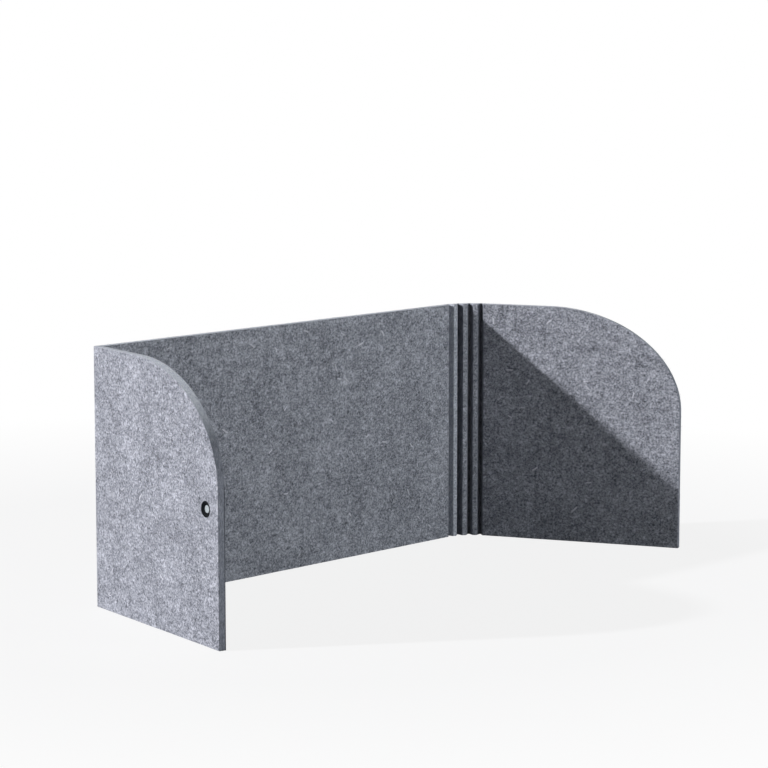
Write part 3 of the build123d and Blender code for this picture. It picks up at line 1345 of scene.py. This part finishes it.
@dataclass
class LooseHairs:
    """The hairs that lie on the felt and stand a little out of it, and the pale tufts among them."""

    hair: Material
    density: float = 13600.0
    length: float = 8 * MM
    thickness: float = 0.13 * MM
    lift: float = 0.16
    clear_foot: float = 7 * MM
    bends: tuple[Pair, ...] = ((0.5, 0.1), (-0.35, 0.16), (0.8, 0.05), (0.1, 0.22))
    tuft_density: float = 170.0
    tuft_spread: float = 0.11 * MM
    tuft_margin: float = 9 * MM
    tuft_hairs: int = 14
    tuft_tint: float = 1.4
    seed: int = 11
    tuft_seed_step: float = 40.0

    def strewn(
        self, tree: ShapeTree, where: Socket, density: Socket, seed: Socket, turn: Socket, tint: Term, shapes: dict
    ) -> Socket:
        """Strew shapes over the felt, each turned on the spot.

        Args:
            tree: The hairs' tree.
            where: The mask of the faces that they lie on.
            density: How many lie on a square metre.
            seed: Where their random places start.
            turn: Each one's own turn, as angles about the face's axes.
            tint: The tint that each carries.
            shapes: The Instance inputs: what is strewn, and at what scale.

        Returns:
            The strewn shapes.
        """
        spread = {0: tree.given["Geometry"], "Selection": where, "Density": density, "Seed": seed}
        spots = tree.add("GeometryNodeDistributePointsOnFaces", spread, distribute_method="RANDOM").outputs
        own_turn = tree.out("FunctionNodeEulerToRotation", {0: turn})
        both = {0: spots["Rotation"], 1: own_turn}
        turned = tree.out("FunctionNodeRotateRotation", both, rotation_space="LOCAL")
        laid = tree.out("GeometryNodeInstanceOnPoints", {0: spots["Points"], "Rotation": turned, **shapes})
        return tree.store(laid, "tint", tint, domain="INSTANCE")

    def bent_hairs(self, tree: ShapeTree) -> list[Socket]:
        """Shape a hair for each bend.

        Args:
            tree: The hairs' tree.

        Returns:
            The hairs, each along X about the origin.
        """
        half = tree.times(tree.given["Hair length"], 0.5)
        round_hair = {"Resolution": 3, "Radius": tree.times(tree.given["Hair thickness"], 0.5)}
        ring = tree.out("GeometryNodeCurvePrimitiveCircle", round_hair)
        start, end = (tree.xyz(tree.times(half, side)) for side in (-1.0, 1.0))
        hairs = []
        for bow, rise in self.bends:
            path = {"Resolution": 3, "Start": start, "Middle": tree.scaled((0.2, bow, rise), half), "End": end}
            curve = tree.out("GeometryNodeCurveQuadraticBezier", path)
            hairs.append(tree.out("GeometryNodeCurveToMesh", {0: curve, "Profile Curve": ring, "Fill Caps": True}))
        return hairs

    def tufts(self, tree: ShapeTree, hair: Socket, where: Socket) -> Socket:
        """Strew a few pale tufts, each a sheaf of bent hairs side by side, clear of the cut edges.

        Args:
            tree: The hairs' tree.
            hair: The shape of one bent hair.
            where: The mask of the faces that hairs lie on.

        Returns:
            The tufts.
        """
        given = tree.given
        step = tree.xyz(given["Tuft spread"], given["Tuft spread"])
        row = tree.out("GeometryNodeMeshLine", {"Count": self.tuft_hairs, "Offset": step})
        sheaf = tree.out("GeometryNodeInstanceOnPoints", {0: row, "Instance": hair})
        knifed = tree.math("GREATER_THAN", tree.named("cut"), 0.5)
        edges = tree.out("GeometryNodeSeparateGeometry", {0: given["Geometry"], 1: knifed}, domain="POINT")
        away = tree.add("GeometryNodeProximity", {0: edges}, target_element="POINTS").outputs["Distance"]
        clear = tree.times(where, tree.math("GREATER_THAN", away, given["Tuft margin"]))
        grow = tree.random(0.7, 1.3, 15)
        shapes = {
            "Instance": tree.out("GeometryNodeRealizeInstances", {0: sheaf}),
            "Scale": tree.xyz(tree.times(grow, 1.25), tree.times(grow, 1.5), 0.7),
        }
        turn = tree.xyz(z=tree.random(0.0, FULL_TURN, 13))
        seed = tree.plus(given["Seed"], self.tuft_seed_step)
        return self.strewn(tree, clear, given["Tuft density"], seed, turn, self.tuft_tint, shapes)

    def tree(self) -> ShapeTree:
        """Build the tree that strews bent hairs over a felt piece.

        Returns:
            The tree, ready to run once for each piece.
        """
        tree = ShapeTree("loose_hairs", {
            "Density": self.density,
            "Hair length": self.length,
            "Hair thickness": self.thickness,
            "Lift": self.lift,
            "Clear foot": self.clear_foot,
            "Tuft density": self.tuft_density,
            "Tuft spread": self.tuft_spread,
            "Tuft margin": self.tuft_margin,
            "Seed": self.seed,
            "Hair": self.hair,
        })
        given = tree.given
        # Hairs keep off the felt that carries painted groove shade.
        flat = tree.math("LESS_THAN", tree.named("groove"), 0.05)
        open_felt = tree.times(flat, tree.math("GREATER_THAN", tree.position()[2], given["Clear foot"]))
        hairs = self.bent_hairs(tree)
        lean = tree.times(tree.random(-0.5, 1.0, 4), given["Lift"])
        turn = tree.xyz(0.0, lean, tree.random(0.0, FULL_TURN, 3))
        grow = tree.random(0.45, 1.25, 5)
        choice = {4: 0, 5: len(self.bends) - 1, "Seed": 6}
        shapes = {
            "Instance": tree.out("GeometryNodeGeometryToInstance", {0: hairs}),
            "Pick Instance": True,
            "Instance Index": tree.add("FunctionNodeRandomValue", choice, data_type="INT").outputs[2],
            "Scale": tree.xyz(grow, grow, 1.0),
        }
        tint = tree.random(0.0, 1.0, 8)
        loose = self.strewn(tree, open_felt, given["Density"], given["Seed"], turn, tint, shapes)
        both = [loose, self.tufts(tree, hairs[-1], open_felt)]
        tree.finish(tree.out("GeometryNodeJoinGeometry", {0: both}), given["Hair"])
        return tree

    def dress(self, pieces: list[tuple[Piece, str]]) -> None:
        """Strew hairs over felt pieces.

        Args:
            pieces: Each felt piece with the body that it rides on.
        """
        tree = self.tree()
        for number, (piece, body) in enumerate(pieces):
            hairs = tree.run(piece.name.replace("felt_", "hairs_"), start=piece.data, Seed=self.seed + number)
            hairs.data.shade_smooth()
            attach(hairs, body)
            log.info("%s: %d faces on %s", hairs.name, len(hairs.data.polygons), body)


@dataclass(frozen=True)
class LinkMagnets:
    """The linking magnets in their cups, which keep their solid shapes."""

    cup: Material
    plate: Material

    def dress(self) -> None:
        """Give both cups and both magnets their finish."""
        for side in ("left", "right"):
            for part, material in (("magnet_cup", self.cup), ("magnet", self.plate)):
                node = frame["nodes"][f"{side}_{part}"]
                node.data.materials.clear()
                node.data.materials.append(material)
                log.info("%s: finished in %s", node.name, material.name)


@dataclass(frozen=True)
class SoftBox:
    """A square studio lamp that shines at one point."""

    name: str
    place: Spot
    size: float
    power: float
    colour: Colour

    def build(self, target: Vector) -> None:
        """Hang the lamp.

        Args:
            target: The point that it shines at.
        """
        data = bpy.data.lights.new(self.name, "AREA")
        data.shape, data.size, data.energy = "SQUARE", self.size, self.power
        data.color = rgba(self.colour)[:3]
        lamp = new_object(self.name, data)
        lamp.location = self.place
        lamp.rotation_euler = (target - Vector(self.place)).to_track_quat("-Z", "Y").to_euler()
        lamp.visible_camera = False
        log.info("%s: %.0f W", self.name, self.power)


@dataclass(frozen=True)
class Studio:
    """Pale floor, soft lamps, white surroundings, and the camera where the photograph was taken from."""

    lamps: tuple[SoftBox, ...] = (
        SoftBox("key_box", (-12.32, 7.88, 7.24), 0.50, 2800.0, (251, 251, 255)),
        SoftBox("front_box", (1.42, -3.3, 0.65), 1.2, 49.5, (247, 252, 255)),
    )
    target: Spot = (0.06, -0.16, 0.2)
    sky_colour: Colour = (250, 252, 255)
    sky_strength: float = 0.035
    floor_reach: float = 60.0
    floor_tone: Colour = (226, 226, 228)
    floor_specks: Colour = (228, 228, 230)
    floor_glow: float = 0.86
    floor_near: float = 0.75
    floor_far: float = 1.7
    camera_place: Spot = (-3.1108, -3.2493, 0.9422)
    camera_pitch: float = 8.09
    camera_yaw: float = 45.80
    camera_reach: float = 200.0
    sensor_width: float = 36.0
    lens: float = 132.69

    def sky(self) -> None:
        """Light everything softly from all round, and look white to the camera."""
        world = bpy.data.worlds.new("white_room")
        world.use_nodes = True
        world.node_tree.nodes.clear()
        graph = Graph(world.node_tree)
        soft = graph.out("ShaderNodeBackground", {"Color": rgba(self.sky_colour), "Strength": self.sky_strength})
        white = graph.out("ShaderNodeBackground", {"Color": WHITE, "Strength": 1.0})
        both = graph.out("ShaderNodeMixShader", {0: graph.straight_rays(), 1: soft, 2: white})
        graph.add("ShaderNodeOutputWorld", {0: both})
        bpy.context.scene.world = world

    def floor_material(self) -> Material:
        """Build the floor's material, which keeps shadows near the screen and is white beyond them.

        Returns:
            The material.
        """
        material, graph, shader = new_material("pale_floor")
        place = graph.object_place()
        speck = graph.ramp(graph.noise(place, 60, 3.0), 0.3, 0.7)
        tone = graph.mix(speck, rgba(self.floor_tone), rgba(self.floor_specks))
        graph.set(shader, {"Base Color": tone, "Roughness": 0.9, "Specular IOR Level": 0.1})
        glow = graph.out("ShaderNodeEmission", {"Color": WHITE, "Strength": 1.0})
        away = graph.add("ShaderNodeVectorMath", {0: place}, operation="LENGTH").outputs["Value"]
        white = graph.ramp(away, self.floor_near, self.floor_far, self.floor_glow, 1.0)
        share = graph.times(graph.straight_rays(), white)
        both = graph.out("ShaderNodeMixShader", {0: share, 1: shader.outputs[0], 2: glow})
        output = next(node for node in graph.tree.nodes if node.type == "OUTPUT_MATERIAL")
        graph.set(output, {0: both})
        return material

    def floor(self) -> None:
        """Lay a pale floor."""
        corners = [(x * self.floor_reach, y * self.floor_reach, 0) for x, y in ((-1, -1), (1, -1), (1, 1), (-1, 1))]
        mesh = bpy.data.meshes.new("studio_floor")
        mesh.from_pydata(corners, [], [(0, 1, 2, 3)])
        mesh.materials.append(self.floor_material())
        floor = new_object("studio_floor", mesh)

    def camera(self) -> None:
        """Stand the camera at the photograph's viewpoint."""
        data = bpy.data.cameras.new("photo_camera")
        data.sensor_width, data.lens, data.clip_end = self.sensor_width, self.lens, self.camera_reach
        camera = new_object("photo_camera", data)
        camera.location = self.camera_place
        camera.rotation_euler = (math.radians(90 - self.camera_pitch), 0.0, math.radians(-self.camera_yaw))
        bpy.context.scene.camera = camera

    def build(self) -> None:
        """Set up the whole studio."""
        self.sky()
        self.floor()
        self.camera()
        for lamp in self.lamps:
            lamp.build(Vector(self.target))
        bpy.context.scene.view_settings.view_transform = "Standard"


def felt_panels() -> list[FeltPanel]:
    """List the board's three panels.

    Returns:
        The back panel, the left wing and the right wing.
    """
    back_length = LAYOUT.fold("right_fold_1")[0] - LAYOUT.fold("left_fold")[0]
    corner, level = LAYOUT.corner, BOARD.height / 2
    left_pocket = (LAYOUT.left_wing - LAYOUT.magnet_setback, level)
    right_pocket = (LAYOUT.right_wing - LAYOUT.magnet_setback, level)
    right = LAYOUT.turned(LAYOUT.ribs + 1)
    return [
        FeltPanel("felt_back_panel", "back", "back_panel", LAYOUT.back(), back_length, End.MITRE, End.RIB_GROOVE),
        FeltPanel(
            "felt_left_wing", "left", "left_wing", LAYOUT.left(), LAYOUT.left_wing, End.MITRE, End.CUT,
            corner, left_pocket, painted_arris_shadow=True,
        ),
        FeltPanel(
            "felt_right_wing", "right", "right_wing", right, LAYOUT.right_wing, End.RIB_GROOVE, End.CUT,
            corner, right_pocket,
        ),
    ]


def fold_skins() -> list[FoldSkin]:
    """List the skins over the board's five folds.

    Returns:
        The left corner's skin, then the right corner's four.
    """
    back = LAYOUT.back()
    ribs = range(1, LAYOUT.ribs + 1)
    places = [back, *(LAYOUT.turned(number) for number in ribs)]
    chain = ["back", *(f"rib_{number}" for number in ribs), "right"]
    skins = [
        FoldSkin(
            "fold_skin_left", ("back", "left"), back, back.origin, LAYOUT.left_bend, back.unrolled,
            LAYOUT.left_bend_radius,
        )
    ]
    for number, before in enumerate(places, start=1):
        after, bodies = LAYOUT.turned(number), (chain[number - 1], chain[number])
        skins.append(
            FoldSkin(
                f"fold_skin_{number}", bodies, before, after.origin, LAYOUT.bend, after.unrolled,
                LAYOUT.right_bend_radius,
            )
        )
    return skins


def main() -> None:
    """Dress the screen, then set up the studio."""
    logging.basicConfig(level=logging.INFO, format="%(name)s %(message)s")
    felt = FeltFinish().build()
    pieces = [(panel.dress(felt), panel.body) for panel in felt_panels()]
    pieces += [(rib, f"rib_{number}") for number, rib in enumerate(RibCorner(felt).dress(), start=1)]
    for skin in fold_skins():
        skin.dress(felt)
    LooseHairs(HairFinish().build()).dress(pieces)
    LinkMagnets(CupFinish().build(), MagnetFinish().build()).dress()
    Studio().build()


if __name__ == "__main__":
    main()
